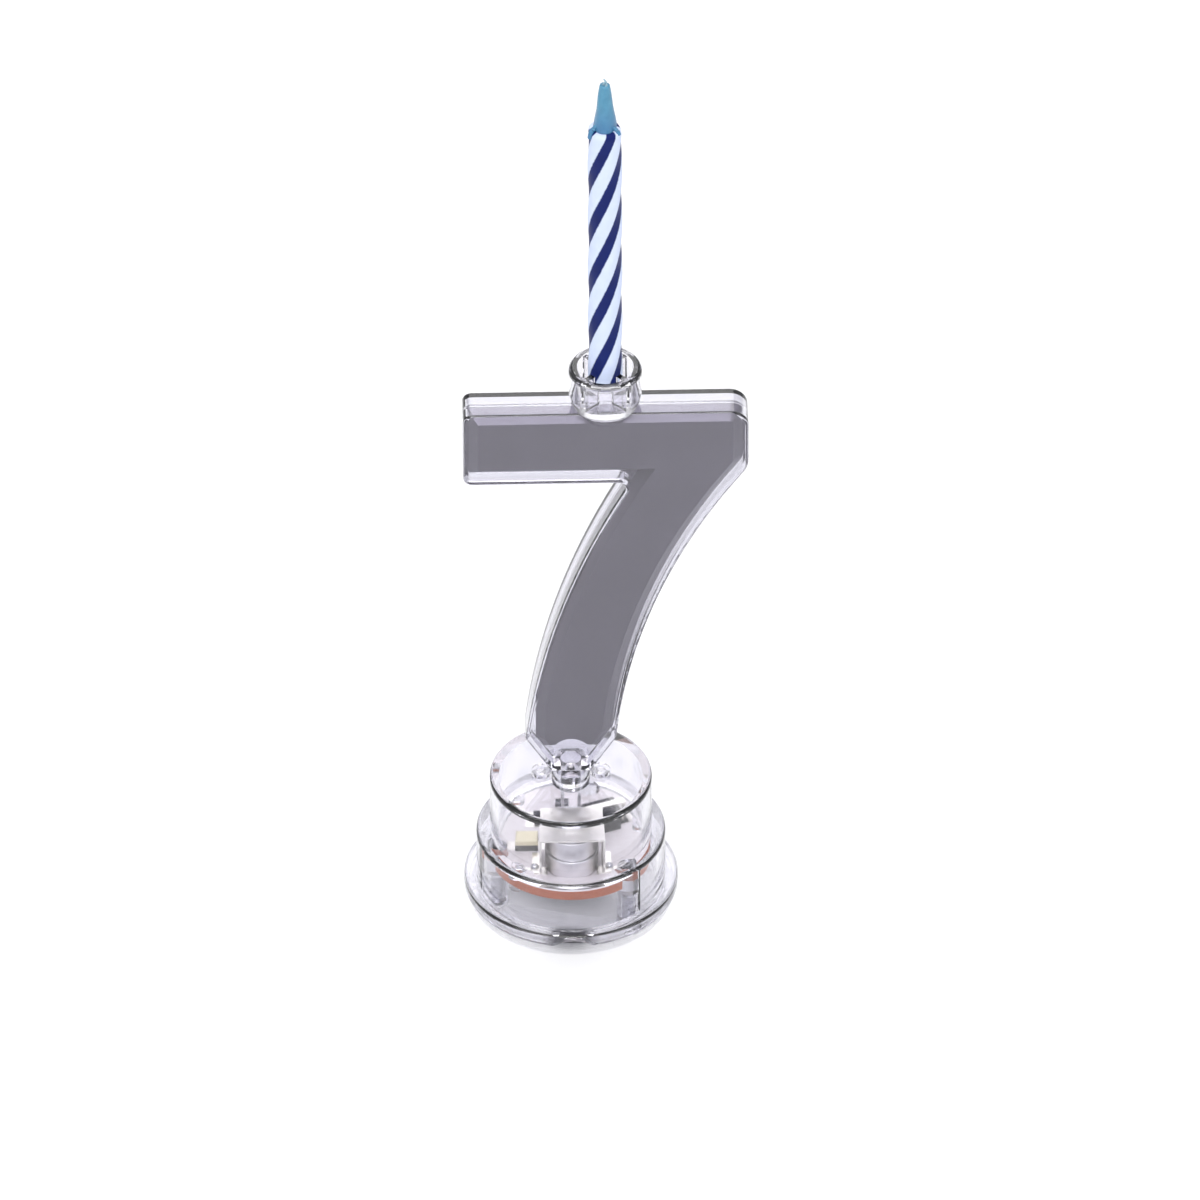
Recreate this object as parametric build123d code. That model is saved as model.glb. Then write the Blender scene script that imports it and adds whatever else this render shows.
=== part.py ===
from build123d import *
import os
from math import cos, pi, radians, sin, sqrt

# Light-up number candle holder: a clear plastic 7 with a silvered insert inside it, on a
# clear three-tier base that holds a flashing-light circuit, with a cup for one small
# candle on top of the bar. Millimetres, +Z up, the front faces -Y. The origin is the
# centre of the base's underside.

# ------------------------------------------------------------------ driving dimensions
# Gap left where two clear or fitted pieces meet, and how far joined bodies run into each other.
FIT_GAP = 0.02
JOIN = 0.5

# Clear base: bottom cover with three tiers above it.
COVER_R = 15.6
COVER_T = 1.9
COVER_ROUND = 0.4
SHELL_BOTTOM = COVER_T + FIT_GAP
TIER_R = (16.3, 14.4, 12.35)
TIER_TOP = (4.2, 12.7, 23.2)
WALL = 1.4
ROOF_T = 1.5
RIM_ROUND = 0.6
SKIRT_WALL = 1.6
SPIGOT_H = 1.3
SPIGOT_T = 1.2
STEM_CLEARANCE = 0.05
COIN_SLOT_R = 5.0
COIN_SLOT_TOP = 3.3
RING_X = 4.5
RING_R = 1.5
RING_HOLE_R = 0.75
RING_H = 0.7

# Self-tapping screws that hold the cover to bosses in the tiers.
BOSS_ANGLES = (-45, 75, 195)
BOSS_PITCH_R = 11.5
BOSS_R = 1.65
SCREW_R = 0.85
SCREW_HEAD_R = 1.6
SCREW_HEAD_T = 0.9
SCREW_TIP_Z = 6.5
SCREW_CLEARANCE = 0.1
SCREW_HEAD_BOTTOM = 0.1
SCREW_RECESS = (1.8, 0.4, 0.4)

# Circuit board, held up by three heat-staked pins of the tiers.
BOARD_R = 12.1
BOARD_T = 1.6
BOARD_TOP = 10.2
STAKE_ANGLES = (15, 135, 225)
STAKE_PITCH_R = 11.4
STAKE_R = 0.6
STAKE_HEAD_R = 1.1
STAKE_HEAD_T = 0.6

# Two LR41-size cells in a stack in front of the board's centre.
CELL_R = 3.95
CELL_H = 3.6
CELL_CENTRE_Y = -5.4
CELL_CAN_H = 3.15
CELL_SEAL_TOP = 3.3
CELL_SEAL_INSET = 0.45
CELL_CAP_INSET = 0.75
CELL_ROUND = 0.2
CONTACT_T = 0.2
CLIP_T = 0.3
CLIP_W = 6.4
CLIP_CENTRE_Y = CELL_CENTRE_Y - 0.7
CLIP_CLEARANCE = 0.5
CLIP_FOOT = 1.4

# Other components on the board: width, depth, height, then place.
CHIP_SIZE = (5.2, 3.8, 2.4)
CHIP_PLACE = (4.8, 3.7)
CHIP_TURN = 20
CHIP_BEVEL = 0.3
LINK_W = 1.1
LINK_T = 0.25
LINK_LENGTH = 7.4
CAPACITOR_SIZE = (3.4, 2.6, 2.0)
CAPACITOR_PLACE = (-6.7, -0.9)
CAPACITOR_ROUND = 0.3
RESISTOR_SIZE = (2.0, 1.25, 0.55)
RESISTOR_PLACES = ((-4.6, 4.6), (-1.2, 7.4))
SOLDER_BEAD_R = 0.6
SOLDER_CONE_R = 0.85

# 3 mm light-emitting diode in the numeral's stem.
LED_R = 1.5
LED_FLANGE_R = 1.9
LED_FLANGE_T = 1.0
LED_BASE_Z = 19.98
LED_H = 5.3
LEAD_PITCH = 2.54
LEAD_W = 0.5
LEAD_HOLE_R = 0.45
LEAD_STUB = 0.9
FRAME_BOTTOM_Z = LED_BASE_Z + 1.4
FRAME_TOP_Z = LED_BASE_Z + 3.0
FRAME_T = 0.5
ANVIL_W = 1.2
ANVIL_X = -0.45
ANVIL_BOWL_R = 0.45
ANVIL_BOWL_H = 0.6
POST_W = 0.35
POST_X = 0.55
FRAME_STALK_W = 0.3
FRAME_BRIDGE = (0.65, 0.4)

# Latching push switch under the board, and the button in the cover.
SWITCH_Y = 5.5
SWITCH_W = 5.8
SWITCH_BOTTOM = 4.9
SWITCH_BEVEL = 0.4
PLUNGER_W = 2.2
PLUNGER_TOP = 5.8
PLUNGER_GAP = 0.2
SPRING_TOP = 8.1
SPRING_R = 0.85
SPRING_WIRE_R = 0.1
SPRING_TURNS = 4
BUTTON_R = 2.85
BUTTON_HOLE_R = 3.0
BUTTON_BOTTOM = 0.4
BUTTON_TOP = 3.4
BUTTON_FLANGE_R = 3.5
BUTTON_FLANGE_T = 0.75
BUTTON_ROUND = 0.3
BUTTON_SOCKET_Z = BUTTON_BOTTOM + 1.0
REST_GAP = 0.05

# Numeral: outline in the XZ plane, then its depth.
BAR_LEFT = -16.2
BAR_RIGHT = 26.9
BAR_TOP = 95.3
BAR_BOTTOM = 81.8
BAR_LEFT_ROUND = 1.4
BAR_RIGHT_ROUND = 2.8
SHOULDER_ROUND = 4.0
INNER_ROUND = 1.0
STROKE_LEFT_CENTRE = (126.15, 17.1)
STROKE_LEFT_R = 133.9
STROKE_RIGHT_CENTRE = (109.27, 23.0)
STROKE_RIGHT_R = 102.8
FOOT_SHOULDER_Z = 32.2
FOOT_BOTTOM_Z = 25.8
FOOT_HALF_W = 3.0
HALF_DEPTH = 3.0
SIDE_WALL = 0.8
FACE_WALL = 0.9
FACE_ROUND = 0.45
PANEL_LEDGE = 0.4
PANEL_GAP = 0.08
PANEL_EDGE_T = 0.4
PANEL_T = 3.8
PANEL_BEVEL_W = 1.4
PANEL_BEVEL_H = 1.6
PANEL_FOOT_Z = 29.2
PANEL_FOOT_LEFT = -5.3
PANEL_FOOT_RIGHT = 5.4
PANEL_FOOT_SHOULDER_Z = 42.0
WINDOW_W = 6.2
WINDOW_H = 2.5
STEM_R = 2.9
STEM_BOTTOM = 21.0
STEM_OVERLAP = 0.8
POCKET_R = 1.6
POCKET_TOP = 29.0

# Candle cup on the middle of the bar.
CUP_X = (BAR_LEFT + BAR_RIGHT) / 2
CUP_R = 5.55
CUP_TOP = 102.2
CUP_BOWL_TOP = 97.6
CUP_BOWL_SIDE = (4.6, 94.7)
CUP_BOTTOM = 92.8
CUP_INNER_R = 4.3
CUP_FLOOR_Z = 96.6
CUP_RIBS = 4
CUP_RIB_T = 0.9
CUP_RIB_TOP = 101.9
CUP_BORE_R = 2.72
CUP_LEDGE_Z = 99.6
CUP_SEAT_R = 1.8
CUP_RIM_ROUND = 0.8

# Spiral candle.
CANDLE_R = 2.5
CANDLE_FLUTE = 0.12
CANDLE_STARTS = 4
CANDLE_LEAD = 38.8
CANDLE_BOTTOM = CUP_LEDGE_Z + REST_GAP
CANDLE_TOP = 148.0
WICK_R = 0.5
WICK_TOP = 156.9
COATING_TOP = 156.0
COATING_BASE_R = 1.8
COATING_TIP_R = 0.62

BOARD_BOTTOM = BOARD_TOP - BOARD_T
STACK_BOTTOM = BOARD_TOP + CONTACT_T
STACK_TOP = STACK_BOTTOM + 2 * CELL_H


# ---------------------------------------------------------------------------- helpers
def rod(radius, bottom, top, x=0, y=0):
    """Upright cylinder between two heights."""
    return Pos(x, y, (bottom + top) / 2) * Cylinder(radius, top - bottom)


def block(width, depth, bottom, top, x=0, y=0):
    """Upright box between two heights."""
    return Pos(x, y, (bottom + top) / 2) * Box(width, depth, top - bottom)


def on_circle(angle, radius):
    """Point on a circle round the object's axis."""
    return radius * cos(radians(angle)), radius * sin(radians(angle))


def turned(points, rounded=(), radius=RIM_ROUND):
    """Solid of revolution from an (r, z) outline; the listed corners are rounded."""
    outline = make_face(Polyline(*points, close=True))
    corners = [v for v in outline.vertices() if (round(v.X, 3), round(v.Y, 3)) in rounded]
    if corners:
        outline = fillet(corners, radius)
    return revolve(Plane.XZ * outline, Axis.Z)


def save(shape, node):
    """Write one sub-part."""
    export_step(shape, "parts/" + node + ".step")


# ------------------------------------------------------------------------------- base
def base_shell():
    """Three clear tiers, open below, with screw bosses and board pins moulded inside."""
    low, middle, top = TIER_R
    low_top, middle_top, top_top = TIER_TOP
    ledge = SPIGOT_H + COVER_T + 10 * FIT_GAP
    ceiling = middle_top - WALL
    shell = turned(
        [
            (STEM_R + STEM_CLEARANCE, top_top),
            (top, top_top),
            (top, middle_top),
            (middle, middle_top),
            (middle, low_top),
            (low, low_top),
            (low, SHELL_BOTTOM),
            (low - SKIRT_WALL, SHELL_BOTTOM),
            (low - SKIRT_WALL, ledge),
            (middle - WALL, ledge),
            (middle - WALL, ceiling),
            (top - WALL, ceiling),
            (top - WALL, top_top - ROOF_T),
            (STEM_R + STEM_CLEARANCE, top_top - ROOF_T),
        ],
        rounded=((top, top_top), (middle, middle_top), (low, low_top), (low, SHELL_BOTTOM)),
    )
    for angle in BOSS_ANGLES:
        x, y = on_circle(angle, BOSS_PITCH_R)
        shell += rod(BOSS_R, SHELL_BOTTOM, ceiling + JOIN, x, y)
        shell -= rod(SCREW_R, SHELL_BOTTOM, SCREW_TIP_Z + JOIN, x, y)
    for angle in STAKE_ANGLES:
        x, y = on_circle(angle, STAKE_PITCH_R)
        shell += rod(2 * STAKE_R, BOARD_TOP + FIT_GAP, ceiling + JOIN, x, y)
        shell += rod(STAKE_R, BOARD_BOTTOM - STAKE_HEAD_T, BOARD_TOP + JOIN, x, y)
        shell += rod(STAKE_HEAD_R, BOARD_BOTTOM - STAKE_HEAD_T, BOARD_BOTTOM - FIT_GAP, x, y)
    for side in (-1, 1):
        shell += rod(RING_R, top_top - ROOF_T / 2, top_top + RING_H, side * RING_X)
        shell -= rod(RING_HOLE_R, top_top - ROOF_T / 4, top_top + RING_H, side * RING_X)
    slot_z = COIN_SLOT_TOP - COIN_SLOT_R
    coin_slot = Pos(0, -low, slot_z) * Rot(90, 0, 0) * Cylinder(COIN_SLOT_R, 2 * WALL)
    return shell - coin_slot


def bottom_cover():
    """Clear disc that the holder stands on, with a spigot ring inside the lowest tier."""
    low = TIER_R[0]
    disc = turned(
        [(0, 0), (COVER_R, 0), (COVER_R, COVER_T), (0, COVER_T)],
        rounded=((COVER_R, 0), (COVER_R, COVER_T)),
        radius=COVER_ROUND,
    )
    spigot_r = low - SKIRT_WALL - 0.1
    ring = rod(spigot_r, COVER_T, COVER_T + SPIGOT_H)
    ring -= rod(spigot_r - SPIGOT_T, COVER_T, COVER_T + SPIGOT_H)
    cover = disc + ring
    cover -= rod(BUTTON_HOLE_R, 0, COVER_T, 0, SWITCH_Y)
    for angle in BOSS_ANGLES:
        x, y = on_circle(angle, BOSS_PITCH_R)
        cover -= rod(SCREW_R + SCREW_CLEARANCE, 0, COVER_T, x, y)
        cover -= rod(SCREW_HEAD_R + SCREW_CLEARANCE, 0, SCREW_HEAD_BOTTOM + SCREW_HEAD_T, x, y)
    return cover


def cover_screws():
    """Three cross-recessed screws, heads sunk in the cover."""
    length, width, depth = SCREW_RECESS
    recess_top = SCREW_HEAD_BOTTOM + depth
    screws = []
    for angle in BOSS_ANGLES:
        x, y = on_circle(angle, BOSS_PITCH_R)
        head = rod(SCREW_HEAD_R, SCREW_HEAD_BOTTOM, SCREW_HEAD_BOTTOM + SCREW_HEAD_T - FIT_GAP, x, y)
        shank = rod(SCREW_R - FIT_GAP, SCREW_HEAD_T, SCREW_TIP_Z, x, y)
        screw = head + shank
        screw -= block(length, width, SCREW_HEAD_BOTTOM, recess_top, x, y)
        screw -= block(width, length, SCREW_HEAD_BOTTOM, recess_top, x, y)
        screws.append(screw)
    return Compound(children=[s.solid() for s in screws])


# ---------------------------------------------------------------------------- circuit
def circuit_board():
    """Round phenolic board, notched for the bosses and drilled for pins and leads."""
    board = rod(BOARD_R, BOARD_BOTTOM, BOARD_TOP)
    for angle in BOSS_ANGLES:
        board -= rod(BOSS_R + 0.15, BOARD_BOTTOM, BOARD_TOP, *on_circle(angle, BOSS_PITCH_R))
    for angle in STAKE_ANGLES:
        board -= rod(STAKE_R + 0.03, BOARD_BOTTOM, BOARD_TOP, *on_circle(angle, STAKE_PITCH_R))
    for side in (-1, 1):
        board -= rod(LEAD_HOLE_R, BOARD_BOTTOM, BOARD_TOP, side * LEAD_PITCH / 2)
    return board


def button_cell(bottom):
    """One cell: a can with the smaller negative cap facing up."""
    can = rod(CELL_R, bottom, bottom + CELL_CAN_H)
    can = fillet(can.edges().filter_by(GeomType.CIRCLE), CELL_ROUND)
    seal = rod(CELL_R - CELL_SEAL_INSET, bottom + CELL_CAN_H - JOIN, bottom + CELL_SEAL_TOP)
    cap = rod(CELL_R - CELL_CAP_INSET, bottom + CELL_CAN_H - JOIN, bottom + CELL_H)
    return Pos(0, CELL_CENTRE_Y, 0) * (can + seal + cap)


def negative_contact():
    """Flat contact plate soldered under the cell stack."""
    return rod(CELL_R - 0.4, BOARD_TOP, STACK_BOTTOM, 0, CELL_CENTRE_Y)


def battery_clip():
    """Sprung strap over the stack, with a leg down each side to the board."""
    leg_x = CELL_R + CLIP_CLEARANCE
    top = STACK_TOP + CLIP_T
    profile = [
        (-leg_x - CLIP_FOOT, BOARD_TOP),
        (-leg_x, BOARD_TOP),
        (-leg_x, STACK_TOP),
        (leg_x, STACK_TOP),
        (leg_x, BOARD_TOP),
        (leg_x + CLIP_FOOT, BOARD_TOP),
        (leg_x + CLIP_FOOT, BOARD_TOP + CLIP_T),
        (leg_x + CLIP_T, BOARD_TOP + CLIP_T),
        (leg_x + CLIP_T, top),
        (-leg_x - CLIP_T, top),
        (-leg_x - CLIP_T, BOARD_TOP + CLIP_T),
        (-leg_x - CLIP_FOOT, BOARD_TOP + CLIP_T),
    ]
    strap = extrude(Plane.XZ * make_face(Polyline(*profile, close=True)), CLIP_W / 2, both=True)
    return Pos(0, CLIP_CENTRE_Y, 0) * strap


def driver_chip():
    """Flashing chip in a black moulded block, set askew on the board."""
    width, depth, height = CHIP_SIZE
    body = block(width, depth, BOARD_TOP, BOARD_TOP + height)
    body = chamfer(body.edges().group_by(Axis.Z)[-1], CHIP_BEVEL)
    return Pos(*CHIP_PLACE, 0) * Rot(0, 0, CHIP_TURN) * body


def link_strip():
    """Bright tinned link that bridges the chip and is bent down to the board at both ends."""
    underside = BOARD_TOP + CHIP_SIZE[2] + FIT_GAP
    arch = block(LINK_LENGTH, LINK_W, BOARD_TOP, underside + LINK_T)
    arch -= block(LINK_LENGTH - 2 * LINK_T, LINK_W, BOARD_TOP, underside)
    return Pos(*CHIP_PLACE, 0) * Rot(0, 0, CHIP_TURN) * arch


def capacitor():
    """Moulded capacitor beside the cells."""
    width, depth, height = CAPACITOR_SIZE
    body = block(width, depth, BOARD_TOP, BOARD_TOP + height)
    return Pos(*CAPACITOR_PLACE, 0) * fillet(body.edges().group_by(Axis.Z)[-1], CAPACITOR_ROUND)


def resistors():
    """Two chip resistors at the back of the board."""
    width, depth, height = RESISTOR_SIZE
    chips = [block(width, depth, BOARD_TOP, BOARD_TOP + height, x, y) for x, y in RESISTOR_PLACES]
    return Compound(children=[chip.solid() for chip in chips])


def solder_joints():
    """Solder cones round the diode's leads, and a bead on each foot of the clip."""
    joints = []
    cone_h = SOLDER_CONE_R - LEAD_W / 2
    for side in (-1, 1):
        x = side * LEAD_PITCH / 2
        cone = Pos(x, 0, BOARD_BOTTOM - cone_h / 2) * Cone(0.35, SOLDER_CONE_R, cone_h)
        joints.append(cone - block(LEAD_W, LEAD_W, 0, BOARD_TOP, x))
    foot_top = BOARD_TOP + CLIP_T
    foot_x = CELL_R + CLIP_CLEARANCE + CLIP_FOOT - 0.4
    bead_y = CELL_CENTRE_Y - 1.0
    for side in (-1, 1):
        bead = Pos(side * foot_x, bead_y, foot_top) * Sphere(SOLDER_BEAD_R)
        above_foot = block(3, 3, foot_top, foot_top + 2, side * foot_x, bead_y)
        joints.append(bead & above_foot)
    return Compound(children=[j.solid() for j in joints])


# -------------------------------------------------------------------------------- LED
def led_lens():
    """Clear epoxy body with a flange and a domed top, cast round the lead frame."""
    shoulder = LED_BASE_Z + LED_H - LED_R
    lens = rod(LED_FLANGE_R, LED_BASE_Z, LED_BASE_Z + LED_FLANGE_T)
    lens += rod(LED_R, LED_BASE_Z, shoulder)
    lens += Pos(0, 0, shoulder) * Sphere(LED_R)
    return lens - led_frame_shape()


def led_frame_shape():
    """Cup and post of the lead frame inside the lens."""
    stalk_x = (LEAD_PITCH - LEAD_W - FRAME_STALK_W) / 2
    bridge_w, bridge_h = FRAME_BRIDGE
    bowl = Pos(ANVIL_X, 0, FRAME_TOP_Z) * Cone(ANVIL_BOWL_R / 4, ANVIL_BOWL_R, ANVIL_BOWL_H)
    anvil = block(ANVIL_W, FRAME_T, FRAME_BOTTOM_Z, FRAME_TOP_Z, ANVIL_X) - bowl
    anvil += block(FRAME_STALK_W, FRAME_T, LED_BASE_Z, FRAME_BOTTOM_Z, -stalk_x)
    post = block(POST_W, FRAME_T, FRAME_BOTTOM_Z, FRAME_TOP_Z, POST_X)
    post += block(bridge_w, FRAME_T, FRAME_BOTTOM_Z, FRAME_BOTTOM_Z + bridge_h, stalk_x - POST_W / 2)
    post += block(FRAME_STALK_W, FRAME_T, LED_BASE_Z, FRAME_BOTTOM_Z, stalk_x)
    return anvil + post


def led_leads():
    """Two square leads from the lens down through the board."""
    leads = [
        block(LEAD_W, LEAD_W, BOARD_BOTTOM - LEAD_STUB, LED_BASE_Z, side * LEAD_PITCH / 2)
        for side in (-1, 1)
    ]
    return Compound(children=[lead.solid() for lead in leads])


# ------------------------------------------------------------------ switch and button
def switch_body():
    """Black switch housing with a shaft for the plunger and its spring."""
    body = block(SWITCH_W, SWITCH_W, SWITCH_BOTTOM, BOARD_BOTTOM, 0, SWITCH_Y)
    body = chamfer(body.edges().filter_by(Axis.Z), SWITCH_BEVEL)
    shaft_w = PLUNGER_W + PLUNGER_GAP
    return body - block(shaft_w, shaft_w, SWITCH_BOTTOM, SPRING_TOP, 0, SWITCH_Y)


def switch_plunger():
    """Square stem that the button cap is pushed on to."""
    return block(PLUNGER_W, PLUNGER_W, BUTTON_SOCKET_Z, PLUNGER_TOP, 0, SWITCH_Y)


def switch_spring():
    """Return spring between the plunger and the top of its shaft."""
    length = SPRING_TOP - PLUNGER_TOP - 2 * (SPRING_WIRE_R + FIT_GAP)
    coil = Helix(length / SPRING_TURNS, length, SPRING_R)
    section = Plane(origin=coil @ 0, z_dir=coil % 0) * Circle(SPRING_WIRE_R)
    spring = sweep(section, path=coil)
    return Pos(0, SWITCH_Y, PLUNGER_TOP + SPRING_WIRE_R + FIT_GAP) * spring


def push_button():
    """Button cap in the cover's hole, kept in by a flange."""
    flange_bottom = COVER_T + REST_GAP
    button = rod(BUTTON_R, BUTTON_BOTTOM, BUTTON_TOP)
    button = fillet(button.edges().group_by(Axis.Z)[0], BUTTON_ROUND)
    button += rod(BUTTON_FLANGE_R, flange_bottom, flange_bottom + BUTTON_FLANGE_T)
    button -= block(PLUNGER_W, PLUNGER_W, BUTTON_SOCKET_Z, BUTTON_TOP)
    return Pos(0, SWITCH_Y, 0) * button


# ---------------------------------------------------------------------------- numeral
def left(z):
    """Point on the stroke's left edge at height z."""
    x, centre_z = STROKE_LEFT_CENTRE
    return x - sqrt(STROKE_LEFT_R**2 - (z - centre_z) ** 2), z


def right(z):
    """Point on the stroke's right edge at height z."""
    x, centre_z = STROKE_RIGHT_CENTRE
    return x - sqrt(STROKE_RIGHT_R**2 - (z - centre_z) ** 2), z


def numeral_face(rounded=True):
    """Outline of the 7 down to its round stem; unrounded, only its right corners are round."""
    corner_z = STROKE_RIGHT_CENTRE[1] + sqrt(
        STROKE_RIGHT_R**2 - (STROKE_RIGHT_CENTRE[0] - BAR_RIGHT) ** 2
    )
    middle_z = (BAR_BOTTOM + FOOT_SHOULDER_Z) / 2
    edges = [
        Line((BAR_LEFT, BAR_BOTTOM), (BAR_LEFT, BAR_TOP)),
        Line((BAR_LEFT, BAR_TOP), (BAR_RIGHT, BAR_TOP)),
        Line((BAR_RIGHT, BAR_TOP), (BAR_RIGHT, corner_z)),
        ThreePointArc((BAR_RIGHT, corner_z), right(middle_z), right(FOOT_SHOULDER_Z)),
        Line(right(FOOT_SHOULDER_Z), (FOOT_HALF_W, FOOT_BOTTOM_Z)),
        Line((FOOT_HALF_W, FOOT_BOTTOM_Z), (-FOOT_HALF_W, FOOT_BOTTOM_Z)),
        Line((-FOOT_HALF_W, FOOT_BOTTOM_Z), left(FOOT_SHOULDER_Z)),
        ThreePointArc(left(FOOT_SHOULDER_Z), left(middle_z), left(BAR_BOTTOM)),
        Line(left(BAR_BOTTOM), (BAR_LEFT, BAR_BOTTOM)),
    ]
    face = make_face(edges)
    rounding = {(BAR_RIGHT, corner_z): SHOULDER_ROUND, (BAR_RIGHT, BAR_TOP): BAR_RIGHT_ROUND}
    if rounded:
        rounding[(BAR_LEFT, BAR_BOTTOM)] = BAR_LEFT_ROUND
        rounding[(BAR_LEFT, BAR_TOP)] = BAR_LEFT_ROUND
        rounding[left(BAR_BOTTOM)] = INNER_ROUND
    for point, radius in rounding.items():
        face = fillet(face.vertices().sort_by_distance(Vector(*point))[0], radius)
    return face


def upright(face, start, end):
    """Extrude an outline of the numeral between two depths; the front is negative."""
    return extrude(Pos(0, start, 0) * (Plane.XZ * face), start - end)


def half_numeral(side):
    """Hollow half of the numeral with half of the stem: side -1 is the front, 1 the back."""
    outer_face = numeral_face()
    rebate_face = offset(outer_face, -PANEL_LEDGE)
    hollow_face = offset(outer_face, -SIDE_WALL)
    half = upright(outer_face, side * FIT_GAP / 2, side * HALF_DEPTH)
    outer_plane = half.faces().sort_by(Axis.Y)[0 if side < 0 else -1]
    half = fillet(outer_plane.edges(), FACE_ROUND)
    stem = rod(STEM_R, STEM_BOTTOM, FOOT_BOTTOM_Z + STEM_OVERLAP)
    stem_side = Box(2 * STEM_R, 2 * STEM_R, 4 * STEM_R)
    half += stem & Pos(0, side * (STEM_R + FIT_GAP / 2), STEM_BOTTOM + STEM_R) * stem_side
    half -= upright(rebate_face, 0, side * (PANEL_EDGE_T / 2 + FIT_GAP))
    half -= upright(hollow_face, 0, side * (HALF_DEPTH - FACE_WALL))
    half -= rod(POCKET_R, STEM_BOTTOM, POCKET_TOP)
    return half


def panel_outline(inset, rounded):
    """The numeral's outline, smaller by an inset and narrowed at the foot."""
    corners = Kind.ARC if rounded else Kind.INTERSECTION
    face = offset(numeral_face(rounded), -inset - PANEL_GAP, kind=corners)
    face -= Pos(0, PANEL_FOOT_Z - 10) * Rectangle(4 * BAR_RIGHT, 20)
    beyond_left = Polyline(
        (PANEL_FOOT_LEFT, PANEL_FOOT_Z),
        (PANEL_FOOT_LEFT, PANEL_FOOT_SHOULDER_Z),
        (BAR_LEFT, PANEL_FOOT_SHOULDER_Z),
        (BAR_LEFT, PANEL_FOOT_Z),
        close=True,
    )
    beyond_right = Polyline(
        (PANEL_FOOT_RIGHT, PANEL_FOOT_Z),
        right(PANEL_FOOT_SHOULDER_Z),
        (BAR_RIGHT, PANEL_FOOT_Z),
        close=True,
    )
    return face - make_face(beyond_left) - make_face(beyond_right)


def reflector_panel():
    """Silvered insert: a thin rim held by the halves, then a bevel up to a thick middle."""
    panel = upright(panel_outline(PANEL_LEDGE, True), -PANEL_EDGE_T / 2, PANEL_EDGE_T / 2)
    middle = extrude(Plane.XZ * panel_outline(SIDE_WALL, False), PANEL_T / 2)
    front_plane = middle.faces().sort_by(Axis.Y)[0]
    middle = chamfer(front_plane.edges(), PANEL_BEVEL_W, PANEL_BEVEL_H, reference=front_plane)
    panel += middle + mirror(middle, about=Plane.XZ)
    window_r = WINDOW_W / 2
    arch = Pos(0, 0, PANEL_FOOT_Z + WINDOW_H - window_r) * Rot(90, 0, 0) * Cylinder(window_r, 4)
    return panel - arch


def candle_cup():
    """Thin clear cup that straddles the bar, with stepped ribs that grip the candle."""
    wall = Polyline(
        (CUP_R, CUP_BOWL_TOP),
        (CUP_R, CUP_TOP),
        (CUP_INNER_R, CUP_TOP),
        (CUP_INNER_R, CUP_FLOOR_Z),
        (0, CUP_FLOOR_Z),
        (0, CUP_BOTTOM),
        (HALF_DEPTH, CUP_BOTTOM),
    )
    bowl = ThreePointArc((HALF_DEPTH, CUP_BOTTOM), CUP_BOWL_SIDE, (CUP_R, CUP_BOWL_TOP))
    outline = make_face([*wall.edges(), bowl])
    rim = outline.vertices().sort_by_distance(Vector(CUP_R, CUP_TOP))[0]
    cup = revolve(Plane.XZ * fillet(rim, CUP_RIM_ROUND), Axis.Z)
    reach = (CUP_INNER_R + CUP_R) / 2
    for index in range(CUP_RIBS):
        rib = block(reach, CUP_RIB_T, CUP_FLOOR_Z, CUP_RIB_TOP, reach / 2)
        cup += Rot(0, 0, 360 * (index + 0.5) / CUP_RIBS) * rib
    cup -= rod(CUP_SEAT_R, CUP_FLOOR_Z, CUP_LEDGE_Z)
    cup -= rod(CUP_BORE_R, CUP_LEDGE_Z, CUP_TOP)
    saddle = block(3 * CUP_R, 2 * (HALF_DEPTH + FIT_GAP), CUP_BOTTOM - 1, BAR_TOP + FIT_GAP)
    return Pos(CUP_X, 0, 0) * (cup - saddle)


# ----------------------------------------------------------------------------- candle
def fluted(angle):
    """Point of the candle's section at an angle."""
    radius = CANDLE_R + CANDLE_FLUTE * cos(CANDLE_STARTS * angle)
    return radius * cos(angle), radius * sin(angle)


def candle_wax():
    """Twisted wax candle with shallow flutes and a hole for its wick."""
    steps = 8 * CANDLE_STARTS
    outline = Spline([fluted(2 * pi * i / steps) for i in range(steps)], periodic=True)
    height = CANDLE_TOP - CANDLE_BOTTOM
    wax = Solid.extrude_linear_with_rotation(
        make_face(outline).face(), (0, 0, 0), (0, 0, height), 360 * height / CANDLE_LEAD
    )
    wax = wax - rod(WICK_R, 0, height)
    return Pos(CUP_X, 0, CANDLE_BOTTOM) * wax


def candle_wick():
    """Cotton wick through the whole candle."""
    return rod(WICK_R, CANDLE_BOTTOM, WICK_TOP, CUP_X)


def wick_coating():
    """Coloured wax drawn up round the wick."""
    height = COATING_TOP - CANDLE_TOP
    cone = Pos(CUP_X, 0, CANDLE_TOP + height / 2) * Cone(COATING_BASE_R, COATING_TIP_R, height)
    return cone - rod(WICK_R, CANDLE_TOP, COATING_TOP, CUP_X)


os.makedirs("parts", exist_ok=True)
save(base_shell(), "base_shell")
save(bottom_cover(), "bottom_cover")
save(cover_screws(), "cover_screws")
save(circuit_board(), "circuit_board")
save(button_cell(STACK_BOTTOM), "cell_lower")
save(button_cell(STACK_BOTTOM + CELL_H), "cell_upper")
save(negative_contact(), "negative_contact")
save(battery_clip(), "battery_clip")
save(driver_chip(), "driver_chip")
save(link_strip(), "link_strip")
save(capacitor(), "capacitor")
save(resistors(), "resistors")
save(solder_joints(), "solder_joints")
save(led_lens(), "led_lens")
save(led_frame_shape(), "led_frame")
save(led_leads(), "led_leads")
save(switch_body(), "switch_body")
save(switch_plunger(), "switch_plunger")
save(switch_spring(), "switch_spring")
save(push_button(), "push_button")
save(half_numeral(-1), "numeral_front")
save(half_numeral(1), "numeral_back")
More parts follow.
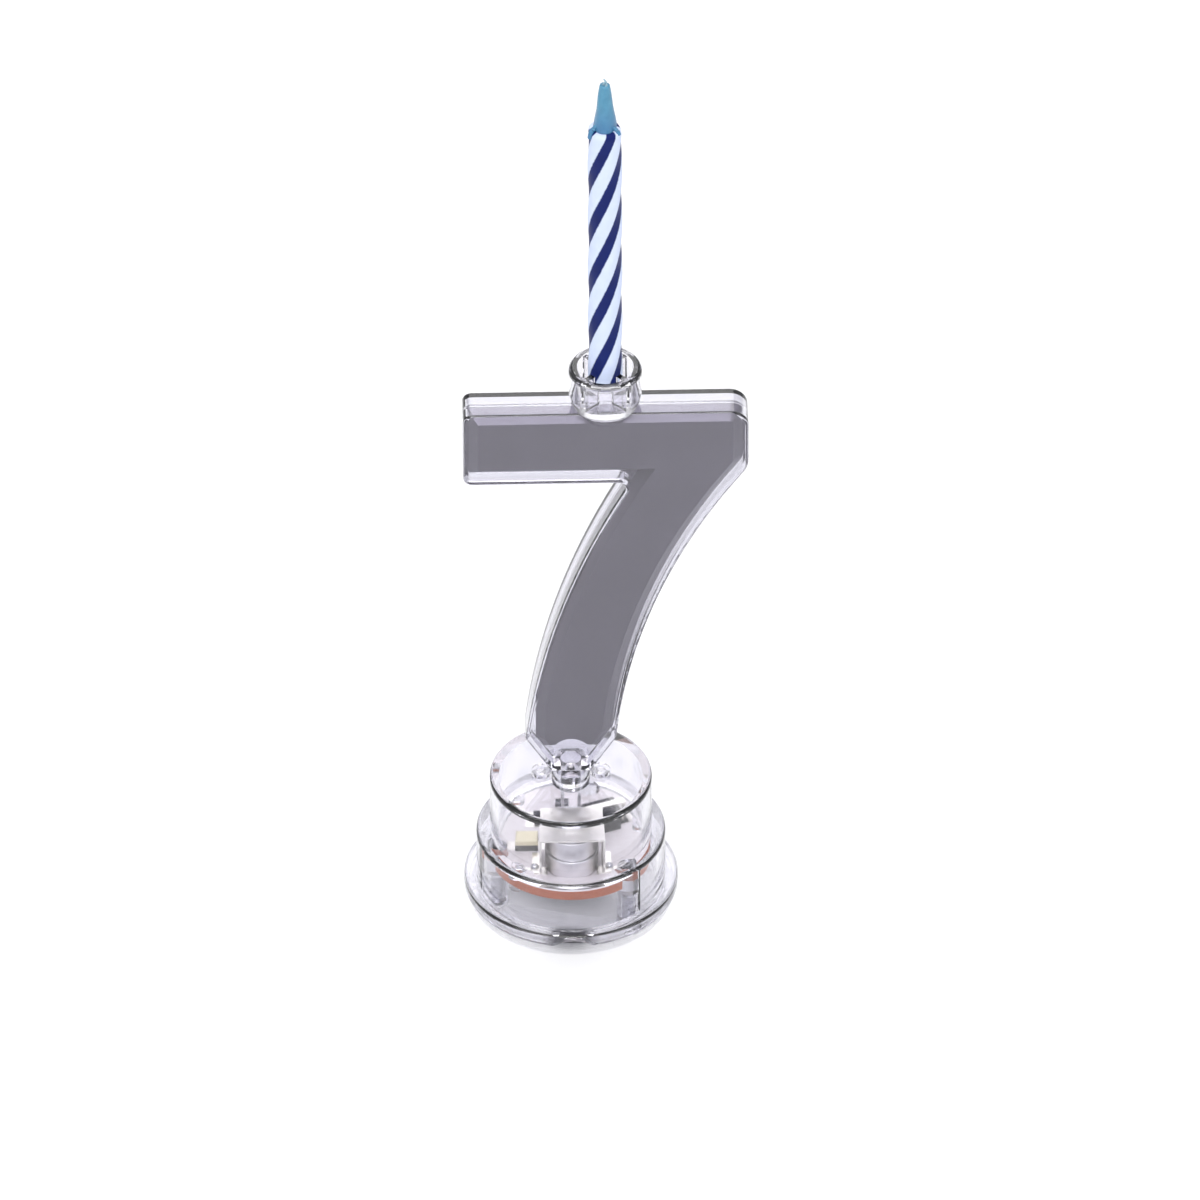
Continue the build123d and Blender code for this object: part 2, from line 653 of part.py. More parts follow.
save(reflector_panel(), "reflector_panel")
save(candle_cup(), "candle_cup")
save(candle_wax(), "candle_wax")
save(candle_wick(), "candle_wick")
save(wick_coating(), "wick_coating")
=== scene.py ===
from math import cos, pi, radians, sin, tau

import bmesh
import bpy
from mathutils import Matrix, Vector


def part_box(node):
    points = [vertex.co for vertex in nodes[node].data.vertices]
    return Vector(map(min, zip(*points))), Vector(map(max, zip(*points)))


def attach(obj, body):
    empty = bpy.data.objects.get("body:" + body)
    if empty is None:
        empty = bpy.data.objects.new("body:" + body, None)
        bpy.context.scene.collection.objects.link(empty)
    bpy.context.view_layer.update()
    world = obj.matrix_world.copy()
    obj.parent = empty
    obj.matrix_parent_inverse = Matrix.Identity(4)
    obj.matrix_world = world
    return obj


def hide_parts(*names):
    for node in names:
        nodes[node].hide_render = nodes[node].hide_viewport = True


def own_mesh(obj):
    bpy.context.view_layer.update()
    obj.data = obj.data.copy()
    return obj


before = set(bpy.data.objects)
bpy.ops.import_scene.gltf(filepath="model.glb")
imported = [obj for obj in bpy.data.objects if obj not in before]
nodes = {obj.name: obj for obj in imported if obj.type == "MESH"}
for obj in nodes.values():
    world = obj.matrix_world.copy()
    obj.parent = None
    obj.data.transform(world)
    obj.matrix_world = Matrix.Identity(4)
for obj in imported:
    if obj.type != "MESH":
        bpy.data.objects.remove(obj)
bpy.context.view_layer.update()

MM = 0.001

# Driving values, in metres and degrees.
CAMERA_ELEVATION = 39.0
CAMERA_AZIMUTH = -1.4
CAMERA_ROLL = -0.1
CAMERA_DISTANCE = 5.0
FRAME_WIDTH = 0.1818
CAMERA_TARGET = Vector((4.5, 0.0, 56.9)) * MM

CANDLE_STARTS = 4
CANDLE_LEAD = 38.8 * MM
CANDLE_FLUTE = 0.10 * MM
STRIPE_PHASE = -3.18

# The grey tints are painted shade: real clear plastic is nearly colourless, and the grey stands in
# for the darker surroundings seen through it.
CLEAR_SHADE_TINT = (0.84, 0.835, 0.88)
PALE_SHADE_TINT = (0.93, 0.925, 0.95)
PLASTIC_IOR = 1.57
PLASTIC_ROUGH = 0.05
# Centre and reach of a patch of painted shade in the clear base and cover: a dark patch standing in
# for the shade in the coin-slot recess.
SLOT_SHADE_CENTRE = (-0.4 * MM, -14.6 * MM, 2.6 * MM)
SLOT_SHADE_REACH = (4.6 * MM, 2.6 * MM, 2.4 * MM)
CAPACITOR_DARK_H = 1.1 * MM

SPRING_TURNS = 4
SPRING_WIRE_R = 0.10 * MM


# ------------------------------------------------------------------ node tree helpers
class Shader:
    """A material's node tree, with short calls for the nodes that the materials share."""

    def __init__(self, name):
        self.material = bpy.data.materials.new(name)
        self.material.use_nodes = True
        self.tree = self.material.node_tree
        self.surface = self.tree.nodes["Principled BSDF"]
        self.place = self.add("ShaderNodeTexCoord").outputs["Object"]

    def add(self, kind, **settings):
        node = self.tree.nodes.new(kind)
        for key, value in settings.items():
            setattr(node, key, value)
        return node

    def link(self, source, target):
        self.tree.links.new(source, target)

    def set(self, **sockets):
        """Values of the Principled sockets, with _ for a space in a name."""
        for key, value in sockets.items():
            self.surface.inputs[key.replace("_", " ")].default_value = value

    def value(self, source, target):
        """Feed a number or a node's output to a socket."""
        if isinstance(source, (int, float)):
            target.default_value = source
        else:
            self.link(source, target)

    def math(self, operation, a, b=0.0):
        node = self.add("ShaderNodeMath", operation=operation)
        self.value(a, node.inputs[0])
        self.value(b, node.inputs[1])
        return node.outputs[0]

    def stretch(self, scale):
        node = self.add("ShaderNodeMapping")
        node.inputs["Scale"].default_value = scale
        self.link(self.place, node.inputs["Vector"])
        return node.outputs["Vector"]

    def axis(self, name):
        """One coordinate of the place on the object."""
        split = self.add("ShaderNodeSeparateXYZ")
        self.link(self.place, split.inputs[0])
        return split.outputs[name]

    def noise(self, scale, detail=3.0, place=None):
        node = self.add("ShaderNodeTexNoise")
        node.inputs["Scale"].default_value = scale
        node.inputs["Detail"].default_value = detail
        self.link(place or self.place, node.inputs["Vector"])
        return node.outputs["Fac"]

    def remap(self, source, low, high, start=0.0, end=1.0):
        """Carry the span from start to end over to low to high, and hold it at both ends."""
        node = self.add("ShaderNodeMapRange", clamp=True)
        self.value(source, node.inputs["Value"])
        node.inputs["From Min"].default_value = start
        node.inputs["From Max"].default_value = end
        node.inputs["To Min"].default_value = low
        node.inputs["To Max"].default_value = high
        return node.outputs["Result"]

    def near(self, centre, reach, soft=0.5):
        """One inside an ellipsoid, falling to zero over its outer part."""
        node = self.add("ShaderNodeMapping")
        node.inputs["Scale"].default_value = [1.0 / r for r in reach]
        node.inputs["Location"].default_value = [-c / r for c, r in zip(centre, reach)]
        self.link(self.place, node.inputs["Vector"])
        length = self.add("ShaderNodeVectorMath", operation="LENGTH")
        self.link(node.outputs["Vector"], length.inputs[0])
        return self.remap(length.outputs["Value"], 1.0, 0.0, start=1.0 - soft)

    def blend(self, factor, first, second):
        """Mix two colours, each a tuple or an output."""
        node = self.add("ShaderNodeMix", data_type="RGBA")
        self.value(factor, node.inputs["Factor"])
        for socket, colour in ((node.inputs[6], first), (node.inputs[7], second)):
            if isinstance(colour, tuple):
                socket.default_value = (*colour, 1.0)
            else:
                self.link(colour, socket)
        return node.outputs[2]

    def colour(self, output):
        self.link(output, self.surface.inputs["Base Color"])

    def roughness(self, output):
        self.link(output, self.surface.inputs["Roughness"])

    def bump(self, height, strength, distance):
        node = self.add("ShaderNodeBump")
        node.inputs["Strength"].default_value = strength
        node.inputs["Distance"].default_value = distance
        self.link(height, node.inputs["Height"])
        self.link(node.outputs["Normal"], self.surface.inputs["Normal"])


# -------------------------------------------------------------------------- materials
def clear_plastic(name, shade_tint, ior, rough, painted_shade=None):
    """Clear moulded plastic with faint flow waves; light passes it to reach what is inside.

    The plastic may carry one patch of painted shade: a dark patch standing in for the shade seen in
    the coin-slot recess, given as the centre and reach of an ellipsoid.
    """
    s = Shader(name)
    s.set(IOR=ior, Transmission_Weight=1.0)
    flow = s.noise(260, 2.0)
    # The grey tint is painted shade for the surroundings seen through the plastic; the flow noise
    # varies it a little at random.
    colour = s.blend(flow, shade_tint, tuple(min(1.0, c + 0.02) for c in shade_tint))
    if painted_shade:
        # Painted shade: the dark colour inside the ellipsoid stands in for the shade in the coin-slot
        # recess.
        colour = s.blend(s.near(*painted_shade), colour, (0.22, 0.22, 0.24))
    s.colour(colour)
    s.roughness(s.remap(s.noise(200, 1.0), rough * 0.7, rough * 1.3))
    s.bump(flow, 0.12, 0.02 * MM)
    shadow = s.add("ShaderNodeLightPath").outputs["Is Shadow Ray"]
    passed = s.add("ShaderNodeBsdfTransparent")
    passed.inputs["Color"].default_value = (0.99, 0.99, 0.995, 1.0)
    mix = s.add("ShaderNodeMixShader")
    s.link(shadow, mix.inputs[0])
    s.link(s.surface.outputs[0], mix.inputs[1])
    s.link(passed.outputs[0], mix.inputs[2])
    s.link(mix.outputs[0], s.tree.nodes["Material Output"].inputs["Surface"])
    return s.material


def silvered(name):
    """Grey vacuum-silvered plastic: a dull mirror with a faint cloudy mottle."""
    s = Shader(name)
    s.set(Metallic=0.8)
    mottle = s.noise(120, 3.0)
    s.colour(s.blend(mottle, (0.112, 0.105, 0.128), (0.150, 0.141, 0.171)))
    s.roughness(s.remap(s.noise(200, 1.0), 0.26, 0.34))
    s.bump(mottle, 0.05, 0.02 * MM)
    return s.material


def metal(name, light, dark, rough):
    """Plated metal with a drawn grain and slight staining."""
    s = Shader(name)
    s.set(Metallic=1.0)
    grain = s.noise(1.0, 3.0, s.stretch((900, 900, 4000)))
    stain = s.noise(500, 4.0)
    s.colour(s.blend(stain, dark, light))
    s.roughness(s.remap(grain, rough * 0.7, rough * 1.4))
    s.bump(grain, 0.08, 0.01 * MM)
    return s.material


def plastic(name, light, dark, rough):
    """Opaque moulded plastic with a spark-eroded grain."""
    s = Shader(name)
    s.set(Specular_IOR_Level=0.25)
    speckle = s.noise(2600, 2.0)
    s.colour(s.blend(s.noise(300, 3.0), dark, light))
    s.roughness(s.remap(speckle, rough * 0.8, rough * 1.2))
    s.bump(speckle, 0.15, 0.01 * MM)
    return s.material


def phenolic(name):
    """Paper-phenolic board: faces painted pale, a painted highlight standing in for light scattered
    from the board's top, and a red-brown fibrous cut edge.
    """
    s = Shader(name)
    fibre = s.noise(1.0, 5.0, s.stretch((700, 2200, 6000)))
    flecks = s.noise(2500, 2.0)
    # Painted light: the pale face colour stands in for light scattered from the board's top; the
    # fibre noise varies it at random.
    pale_face_light = s.blend(fibre, (0.62, 0.57, 0.58), (0.80, 0.77, 0.79))
    edge = s.blend(flecks, (0.33, 0.055, 0.010), (0.56, 0.15, 0.05))
    facing = s.add("ShaderNodeSeparateXYZ")
    s.link(s.add("ShaderNodeNewGeometry").outputs["Normal"], facing.inputs[0])
    flat = s.math("ABSOLUTE", facing.outputs["Z"])
    s.colour(s.blend(flat, edge, pale_face_light))
    s.roughness(s.remap(flecks, 0.35, 0.55))
    s.bump(fibre, 0.2, 0.02 * MM)
    return s.material


def two_tone(name, split_z, below, above, rough):
    """Moulded plastic that is one colour below a height and another above it."""
    s = Shader(name)
    speckle = s.noise(2200, 2.0)
    lower = s.blend(speckle, tuple(0.8 * c for c in below), below)
    upper = s.blend(speckle, tuple(0.8 * c for c in above), above)
    s.colour(s.blend(s.math("GREATER_THAN", s.axis("Z"), split_z), lower, upper))
    s.roughness(s.remap(speckle, rough * 0.7, rough * 1.3))
    s.bump(speckle, 0.15, 0.01 * MM)
    return s.material


def striped_wax(name, axis_x):
    """White wax with navy spiral stripes in its flutes."""
    s = Shader(name)
    s.set(Subsurface_Weight=0.04, Subsurface_Radius=(0.8, 0.9, 1.2), Subsurface_Scale=0.5 * MM)
    s.set(Specular_IOR_Level=0.15)
    angle = s.math("ARCTAN2", s.axis("Y"), s.math("SUBTRACT", s.axis("X"), axis_x))
    turns = s.math("MULTIPLY", s.axis("Z"), tau / CANDLE_LEAD)
    wander = s.math("MULTIPLY", s.math("SUBTRACT", s.noise(90, 2.0), 0.5), 0.35)
    phase = s.math("MULTIPLY", s.math("SUBTRACT", angle, turns), CANDLE_STARTS)
    wave = s.math("COSINE", s.math("ADD", s.math("ADD", phase, STRIPE_PHASE), wander))
    ragged = s.math("MULTIPLY", s.math("SUBTRACT", s.noise(1800, 3.0), 0.5), 0.25)
    stripe = s.remap(s.math("ADD", wave, ragged), 0.0, 1.0, start=-0.30, end=-0.02)
    mottle = s.noise(600, 3.0)
    navy = s.blend(mottle, (0.003, 0.009, 0.090), (0.008, 0.020, 0.150))
    white = s.blend(mottle, (0.60, 0.69, 0.90), (0.70, 0.78, 0.96))
    s.colour(s.blend(stripe, navy, white))
    s.roughness(s.remap(mottle, 0.35, 0.55))
    s.bump(s.noise(1400, 3.0), 0.25, 0.03 * MM)
    return s.material


def teal_wax(name, low, high):
    """Teal wax, darker towards its foot."""
    s = Shader(name)
    s.set(Subsurface_Weight=0.2, Subsurface_Radius=(0.4, 0.9, 1.2), Subsurface_Scale=1.0 * MM)
    s.set(Coat_Weight=0.2, Coat_Roughness=0.25)
    up = s.remap(s.axis("Z"), 0.0, 1.0, start=low, end=high)
    mottle = s.noise(900, 3.0)
    foot = s.blend(mottle, (0.03, 0.13, 0.29), (0.07, 0.25, 0.46))
    tip = s.blend(mottle, (0.045, 0.20, 0.33), (0.10, 0.33, 0.48))
    s.colour(s.blend(up, foot, tip))
    s.roughness(s.remap(mottle, 0.3, 0.5))
    s.bump(s.noise(1200, 3.0), 0.3, 0.04 * MM)
    return s.material


def cotton(name):
    """Twisted cotton soaked with teal wax."""
    s = Shader(name)
    s.set(Sheen_Weight=0.3)
    fibre = s.noise(1.0, 4.0, s.stretch((6000, 6000, 1500)))
    s.colour(s.blend(fibre, (0.10, 0.26, 0.36), (0.42, 0.60, 0.66)))
    s.roughness(s.remap(fibre, 0.6, 0.9))
    s.bump(fibre, 0.5, 0.05 * MM)
    return s.material


def floor_paint(name):
    """White studio sweep with a barely visible paper texture."""
    s = Shader(name)
    paper = s.noise(400, 4.0)
    s.colour(s.blend(paper, (0.93, 0.93, 0.93), (0.95, 0.95, 0.95)))
    s.roughness(s.remap(paper, 0.75, 0.9))
    s.bump(paper, 0.05, 0.05 * MM)
    return s.material


# ----------------------------------------------------------------------- mesh helpers
def new_piece(name, mesh, material, body, smooth=True):
    """Turn a bmesh into an object that rides on a body."""
    data = bpy.data.meshes.new(name)
    bmesh.ops.recalc_face_normals(mesh, faces=mesh.faces)
    mesh.to_mesh(data)
    mesh.free()
    data.materials.append(material)
    for polygon in data.polygons:
        polygon.use_smooth = smooth
    piece = bpy.data.objects.new(name, data)
    bpy.context.scene.collection.objects.link(piece)
    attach(piece, body)
    return piece


def ring_skin(mesh, rings):
    """Join rings of equal length into a skin, closing both ends with a fan."""
    loops = [[mesh.verts.new(point) for point in ring] for ring in rings]
    count = len(loops[0])
    for lower, upper in zip(loops, loops[1:]):
        for i in range(count):
            j = (i + 1) % count
            mesh.faces.new((lower[i], lower[j], upper[j], upper[i]))
    for loop in (loops[0], loops[-1]):
        centre = sum((v.co for v in loop), Vector()) / count
        tip = mesh.verts.new(centre)
        for i in range(count):
            mesh.faces.new((loop[i], loop[(i + 1) % count], tip))


def paint(names, material):
    """Give CAD nodes a finished material."""
    for name in names:
        data = nodes[name].data
        data.materials.clear()
        data.materials.append(material)


# ----------------------------------------------------------------------------- candle
def axis_of(name):
    """Centre of a node's box in X and Y."""
    low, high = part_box(name)
    return (low[0] + high[0]) / 2, (low[1] + high[1]) / 2


def spiral_candle():
    """Fluted wax candle with a rounded foot and shoulder."""
    low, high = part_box("candle_wax")
    x, y = axis_of("candle_wax")
    radius = (high[0] - low[0]) / 2 - CANDLE_FLUTE
    segments = 96
    layers = 220
    rounding = 0.9 * MM
    mesh = bmesh.new()
    rings = []
    for k in range(layers + 1):
        z = low[2] + (high[2] - low[2]) * k / layers
        from_end = min(z - low[2], high[2] - z)
        inset = 0.0
        if from_end < rounding:
            reach = 1.0 - from_end / rounding
            inset = rounding * 0.7 * (1.0 - (1.0 - reach**2) ** 0.5)
        ring = []
        for i in range(segments):
            angle = tau * i / segments
            phase = CANDLE_STARTS * (angle - tau * z / CANDLE_LEAD) + STRIPE_PHASE
            r = radius - inset + CANDLE_FLUTE * cos(phase)
            ring.append((x + r * cos(angle), y + r * sin(angle), z))
        rings.append(ring)
    ring_skin(mesh, rings)
    piece = new_piece("spiral_candle", mesh, striped_wax("wax_striped", x), "candle")
    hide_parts("candle_wax")


def wick_cone():
    """Teal wax drawn up round the wick."""
    low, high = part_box("wick_coating")
    x, y = axis_of("wick_coating")
    foot_r = (high[0] - low[0]) / 2
    tip_r = 0.75 * MM
    height = high[2] - low[2]
    segments = 48
    layers = 40
    mesh = bmesh.new()
    rings = []
    for k in range(layers + 1):
        t = k / layers
        z = low[2] + height * t
        ring = []
        for i in range(segments):
            angle = tau * i / segments
            flare = (1.0 - t) ** 4
            lump = 1.0 + 0.06 * sin(3 * angle + 5 * t) * (1 - t) + 0.03 * sin(9 * t + 2 * angle)
            r = (tip_r + (foot_r - tip_r) * (0.66 * (1 - t**2.0) + 0.34 * flare)) * lump
            r = min(r, foot_r)
            ring.append((x + r * cos(angle), y + r * sin(angle), z))
        rings.append(ring)
    ring_skin(mesh, rings)
    # Teal wax graded darker towards the foot of the cone.
    material = teal_wax("wax_teal_dark_foot", low[2], low[2] + height * 0.6)
    piece = new_piece("wick_cone", mesh, material, "candle")
    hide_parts("wick_coating")


def tube(mesh, points, radii, segments=16):
    """Round skin along a path, with its own radius at each point."""
    rings = []
    for k, point in enumerate(points):
        ahead = points[min(k + 1, len(points) - 1)]
        behind = points[max(k - 1, 0)]
        along = (ahead - behind).normalized()
        side = along.orthogonal().normalized()
        up = along.cross(side)
        ring = [
            point + radii[k] * (cos(tau * i / segments) * side + sin(tau * i / segments) * up)
            for i in range(segments)
        ]
        rings.append(ring)
    ring_skin(mesh, rings)


def smooth_path(points, steps=8):
    """More points on a curve through the given ones."""
    padded = [points[0], *points, points[-1]]
    path = []
    for a, b, c, d in zip(padded, padded[1:], padded[2:], padded[3:]):
        for k in range(steps):
            t = k / steps
            bend = (2 * a - 5 * b + 4 * c - d) * t**2 + (3 * b - a - 3 * c + d) * t**3
            path.append(b + ((c - a) * t + bend) / 2)
    path.append(points[-1])
    return path


def drips():
    """Two runs of teal wax over the candle's shoulder."""
    x, y = axis_of("candle_wax")
    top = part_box("candle_wax")[1][2]
    runs = [
        (205, ((0.9, 1.3), (1.7, 0.45), (2.25, -0.1), (2.42, -1.3)), 0.42),
        (330, ((0.9, 1.0), (1.6, 0.4), (2.15, 0.0), (2.38, -0.6)), 0.34),
    ]
    material = teal_wax("wax_teal_runs", top - 1.5 * MM, top + 3 * MM)
    for index, (angle, profile, radius) in enumerate(runs):
        turn = radians(angle)
        points = [
            Vector((x + r * MM * cos(turn), y + r * MM * sin(turn), top + z * MM)) for r, z in profile
        ]
        path = smooth_path(points)
        radii = [radius * MM * (0.75 + 0.35 * k / (len(path) - 1)) for k in range(len(path))]
        radii[-1] *= 0.6
        mesh = bmesh.new()
        tube(mesh, path, radii)
        new_piece("wax_run_" + str(index + 1), mesh, material, "candle")


def ribbon(mesh, points, width, low, high):
    """Flat strip of constant width along a path at one height."""
    for start, end in zip(points, points[1:]):
        along = (Vector(end) - Vector(start)).normalized()
        side = Vector((-along.y, along.x)) * width / 2
        reach = along * width / 2
        a, b = Vector(start) - reach, Vector(end) + reach
        corners = (a + side, a - side, b - side, b + side)
        lower = [mesh.verts.new((c.x, c.y, low)) for c in corners]
        upper = [mesh.verts.new((c.x, c.y, high)) for c in corners]
        mesh.faces.new(lower)
        mesh.faces.new(upper)
        for i in range(4):
            j = (i + 1) % 4
            mesh.faces.new((lower[i], lower[j], upper[j], upper[i]))


def tracks():
    """Tinned tracks under the board, and the pads that the parts on top of it stand on."""
    low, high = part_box("circuit_board")
    foil = 0.035 * MM
    below = (
        ((-1.3, 0.0), (-4.4, 0.0), (-7.6, -3.4), (-7.6, -6.6)),
        ((1.3, 0.0), (4.2, 0.0), (7.4, -3.2), (7.4, -6.4)),
        ((-3.4, 5.5), (-6.4, 5.5), (-9.0, 2.6), (-9.0, -1.0)),
        ((3.4, 5.5), (6.2, 5.5), (9.2, 0.6), (9.2, -3.4), (5.0, -8.6)),
        ((0.0, -8.2), (0.0, -4.4), (-2.4, -2.0)),
    )
    above = (
        ((-8.6, -0.9), (-5.0, -0.9)),
        ((-6.9, -7.1), (-4.6, -7.1)),
        ((4.6, -7.1), (6.9, -7.1)),
        ((0.4, 2.1), (1.6, 2.5), (8.2, 4.9), (9.2, 5.3)),
        ((-6.0, 4.6), (-3.2, 4.6), (-1.3, 1.6)),
    )
    tin = metal("track_tin", (0.86, 0.85, 0.82), (0.70, 0.66, 0.58), 0.3)
    for name, paths, width, bottom, top in (
        ("tracks_under", below, 1.0, low[2] - foil, low[2]),
        ("pads_on_top", above, 2.0, high[2], high[2] + foil),
    ):
        mesh = bmesh.new()
        for path in paths:
            ribbon(mesh, [(x * MM, y * MM) for x, y in path], width * MM, bottom, top)
        new_piece(name, mesh, tin, "holder", smooth=False)


def return_spring():
    """Coil spring of the switch, built at a single length."""
    low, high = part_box("switch_spring")
    x, y = axis_of("switch_spring")
    coil_r = (high[0] - low[0]) / 2 - SPRING_WIRE_R
    length = high[2] - low[2]
    rise = length - 2 * SPRING_WIRE_R
    steps = 32 * SPRING_TURNS
    points = []
    for k in range(steps + 1):
        turn = tau * SPRING_TURNS * k / steps
        z = low[2] + SPRING_WIRE_R + rise * k / steps
        points.append(Vector((x + coil_r * cos(turn), y + coil_r * sin(turn), z)))
    mesh = bmesh.new()
    tube(mesh, points, [SPRING_WIRE_R] * len(points), 12)
    wire = metal("spring_wire", (0.70, 0.70, 0.72), (0.52, 0.52, 0.54), 0.25)
    piece = new_piece("return_spring", mesh, wire, "holder")
    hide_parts("switch_spring")
    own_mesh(piece)


def wick():
    """Two twisted cotton strands; only their end shows above the wax."""
    low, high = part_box("candle_wick")
    x, y = axis_of("candle_wick")
    strand_r = (high[0] - low[0]) / 4
    segments = 14
    layers = 260
    mesh = bmesh.new()
    for strand in (0, 1):
        rings = []
        for k in range(layers + 1):
            z = low[2] + (high[2] - low[2]) * k / layers
            turn = tau * z / (2.2 * MM) + pi * strand
            cx = x + strand_r * cos(turn)
            cy = y + strand_r * sin(turn)
            r = strand_r * (1.0 if k < layers - 3 else 0.55)
            ring = [
                (cx + r * cos(tau * i / segments), cy + r * sin(tau * i / segments), z)
                for i in range(segments)
            ]
            rings.append(ring)
        ring_skin(mesh, rings)
    piece = new_piece("wick_strands", mesh, cotton("cotton_wick"), "candle")
    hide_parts("candle_wick")


# ------------------------------------------------------------------- CAD nodes' finish
def paint_cad_nodes():
    """Materials of the pieces that are shown as CAD made them."""
    # The patch of painted shade by the coin slot, on the base and the cover.
    slot_shade = (SLOT_SHADE_CENTRE, SLOT_SHADE_REACH)
    numeral = clear_plastic("clear_polystyrene", CLEAR_SHADE_TINT, PLASTIC_IOR, PLASTIC_ROUGH)
    cup = clear_plastic("clear_cup", PALE_SHADE_TINT, PLASTIC_IOR, PLASTIC_ROUGH)
    tiers = clear_plastic("clear_base", CLEAR_SHADE_TINT, PLASTIC_IOR, PLASTIC_ROUGH, slot_shade)
    cover = clear_plastic("clear_cover", PALE_SHADE_TINT, PLASTIC_IOR, PLASTIC_ROUGH, slot_shade)
    paint(("numeral_front", "numeral_back"), numeral)
    paint(("candle_cup",), cup)
    paint(("base_shell",), tiers)
    paint(("bottom_cover",), cover)
    paint(("led_lens",), clear_plastic("clear_epoxy", (0.97, 0.97, 0.98), 1.53, 0.03))
    paint(("reflector_panel",), silvered("silvered_sheet"))
    paint(("circuit_board",), phenolic("paper_phenolic"))

    nickel = metal("cell_nickel", (0.93, 0.92, 0.93), (0.80, 0.79, 0.82), 0.34)
    paint(("cell_lower", "cell_upper"), nickel)
    tin = metal("clip_tin", (0.95, 0.93, 0.87), (0.84, 0.81, 0.74), 0.3)
    paint(("battery_clip", "negative_contact", "link_strip"), tin)
    paint(("solder_joints",), metal("solder_tin", (0.82, 0.83, 0.85), (0.62, 0.63, 0.66), 0.25))
    lead = metal("lead_tin", (0.76, 0.76, 0.77), (0.60, 0.60, 0.62), 0.25)
    paint(("led_leads", "led_frame"), lead)
    paint(("cover_screws",), metal("screw_nickel", (0.74, 0.74, 0.76), (0.50, 0.50, 0.52), 0.28))

    paint(("driver_chip",), plastic("chip_black", (0.020, 0.020, 0.024), (0.008, 0.008, 0.010), 0.45))
    split_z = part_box("capacitor")[0][2] + CAPACITOR_DARK_H
    cream = two_tone("capacitor_cream", split_z, (0.03, 0.03, 0.03), (0.85, 0.78, 0.55), 0.4)
    paint(("capacitor",), cream)
    paint(("resistors",), plastic("resistor_glaze", (0.05, 0.05, 0.06), (0.02, 0.02, 0.025), 0.25))
    paint(("switch_body",), plastic("switch_nylon", (0.055, 0.055, 0.06), (0.03, 0.03, 0.033), 0.45))
    acetal = plastic("plunger_acetal", (0.86, 0.84, 0.78), (0.76, 0.74, 0.68), 0.4)
    paint(("switch_plunger",), acetal)
    paint(("push_button",), plastic("button_black", (0.07, 0.07, 0.075), (0.04, 0.04, 0.043), 0.4))


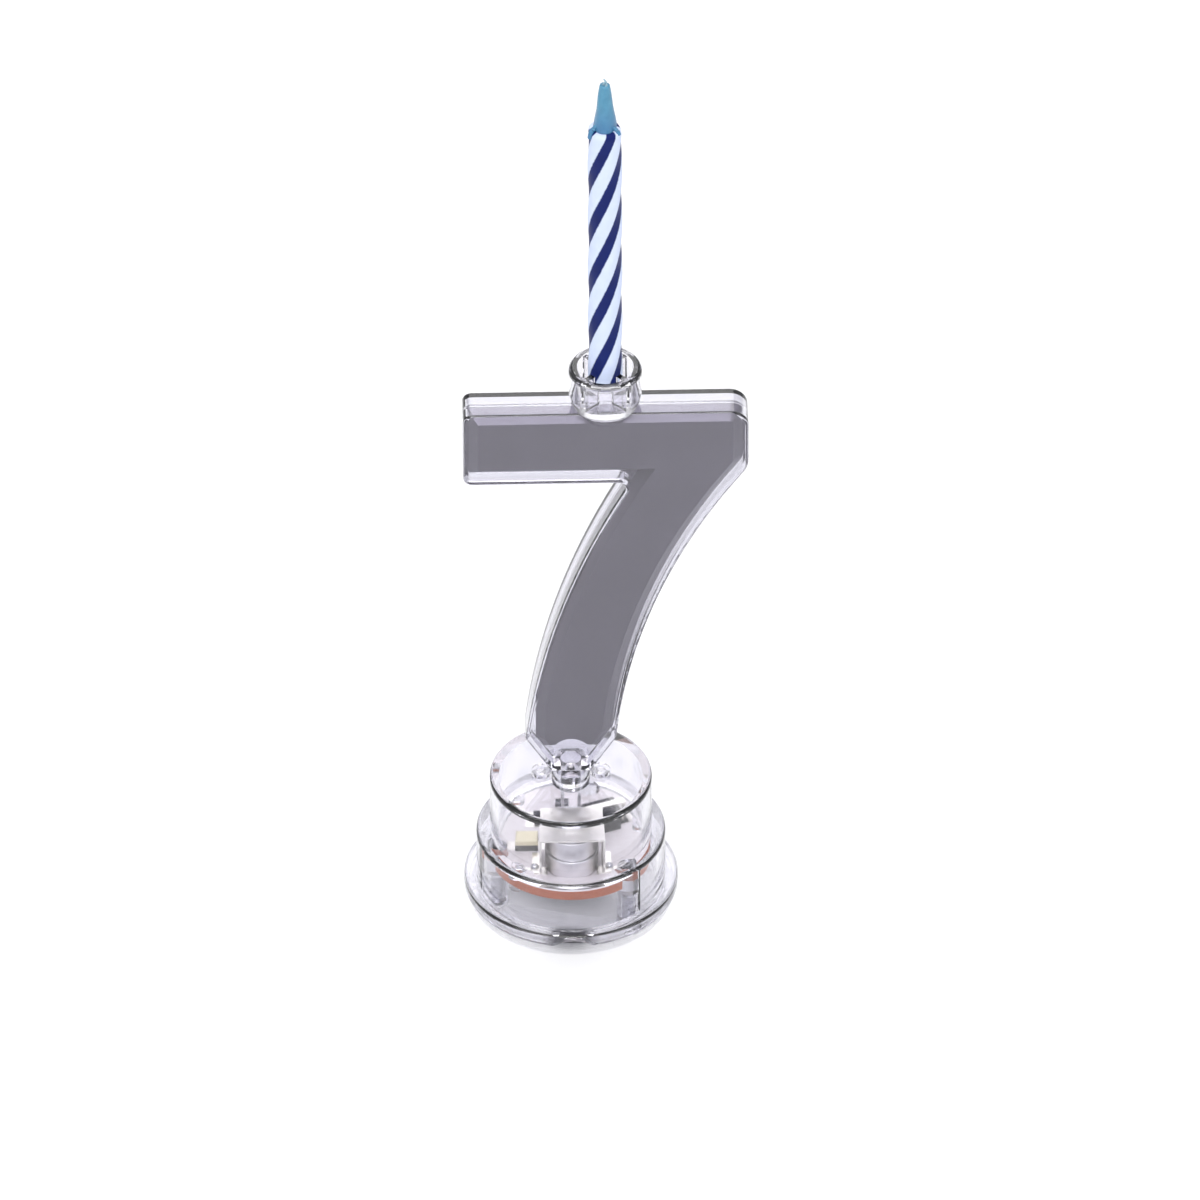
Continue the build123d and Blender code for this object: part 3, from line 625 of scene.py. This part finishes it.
# ---------------------------------------------------------------------- stage and view
def build_stage():
    """White floor, soft boxes and a dim surround that draws the edges of the clear plastic."""
    mesh = bmesh.new()
    size = 3.0
    signs = ((-1, -1), (1, -1), (1, 1), (-1, 1))
    mesh.faces.new([mesh.verts.new((sx * size, sy * size, 0.0)) for sx, sy in signs])
    data = bpy.data.meshes.new("floor")
    mesh.to_mesh(data)
    mesh.free()
    data.materials.append(floor_paint("studio_sweep"))
    floor = bpy.data.objects.new("floor", data)
    bpy.context.scene.collection.objects.link(floor)

    world = bpy.data.worlds.new("studio")
    bpy.context.scene.world = world
    world.use_nodes = True
    tree = world.node_tree
    background = tree.nodes["Background"]
    place = tree.nodes.new("ShaderNodeTexCoord")
    split = tree.nodes.new("ShaderNodeSeparateXYZ")
    ramp = tree.nodes.new("ShaderNodeValToRGB")
    patches = tree.nodes.new("ShaderNodeTexNoise")
    level = tree.nodes.new("ShaderNodeMapRange")
    shade = tree.nodes.new("ShaderNodeMix")
    shade.data_type = "RGBA"
    shade.blend_type = "MULTIPLY"
    shade.inputs["Factor"].default_value = 1.0
    patches.inputs["Scale"].default_value = 2.2
    patches.inputs["Detail"].default_value = 1.0
    level.inputs["From Min"].default_value = 0.35
    level.inputs["From Max"].default_value = 0.65
    level.inputs["To Min"].default_value = 0.7
    level.inputs["To Max"].default_value = 1.1
    tree.links.new(place.outputs["Generated"], split.inputs[0])
    tree.links.new(place.outputs["Generated"], patches.inputs["Vector"])
    tree.links.new(split.outputs["Z"], ramp.inputs["Fac"])
    tree.links.new(patches.outputs["Fac"], level.inputs["Value"])
    tree.links.new(ramp.outputs["Color"], shade.inputs[6])
    tree.links.new(level.outputs["Result"], shade.inputs[7])
    tree.links.new(shade.outputs[2], background.inputs["Color"])
    ramp.color_ramp.elements[0].position = 0.0
    ramp.color_ramp.elements[0].color = (0.80, 0.80, 0.86, 1)
    ramp.color_ramp.elements[1].position = 0.8
    ramp.color_ramp.elements[1].color = (0.85, 0.85, 0.88, 1)
    background.inputs["Strength"].default_value = 0.78

    lights = [
        ("key_box", (-0.45, -0.35, 0.75), 0.45, 1.6),
        ("fill_box", (0.55, -0.30, 0.55), 0.40, 0.8),
        ("front_box", (0.0, -0.63, 0.83), 0.40, 3.0),
        ("back_box", (0.0, 0.70, 0.60), 0.60, 2.0),
        ("top_box", (0.0, 0.0, 1.0), 0.50, 1.2),
    ]
    aim = Vector((0.0, 0.0, 0.05))
    for name, place, size, power in lights:
        light = bpy.data.lights.new(name, "AREA")
        light.shape = "SQUARE"
        light.size = size
        light.energy = power
        lamp = bpy.data.objects.new(name, light)
        lamp.location = place
        lamp.rotation_euler = (aim - lamp.location).to_track_quat("-Z", "Y").to_euler()
        bpy.context.scene.collection.objects.link(lamp)


def build_camera():
    """Long lens, looking down at the photograph's angle."""
    azimuth = radians(CAMERA_AZIMUTH)
    elevation = radians(CAMERA_ELEVATION)
    back = Vector(
        (sin(azimuth) * cos(elevation), -cos(azimuth) * cos(elevation), sin(elevation))
    )
    data = bpy.data.cameras.new("camera")
    data.sensor_width = 36.0
    data.lens = data.sensor_width * CAMERA_DISTANCE / FRAME_WIDTH
    data.clip_end = 20.0
    camera = bpy.data.objects.new("camera", data)
    camera.location = CAMERA_TARGET + back * CAMERA_DISTANCE
    camera.rotation_euler = (-back).to_track_quat("-Z", "Y").to_euler()
    camera.rotation_euler.rotate_axis("Z", radians(CAMERA_ROLL))
    bpy.context.scene.collection.objects.link(camera)
    bpy.context.scene.camera = camera


paint_cad_nodes()
spiral_candle()
wick_cone()
drips()
wick()
tracks()
return_spring()
build_stage()
build_camera()

scene = bpy.context.scene
scene.view_settings.view_transform = "Standard"
scene.cycles.max_bounces = 32
scene.cycles.transmission_bounces = 32
scene.cycles.transparent_max_bounces = 32
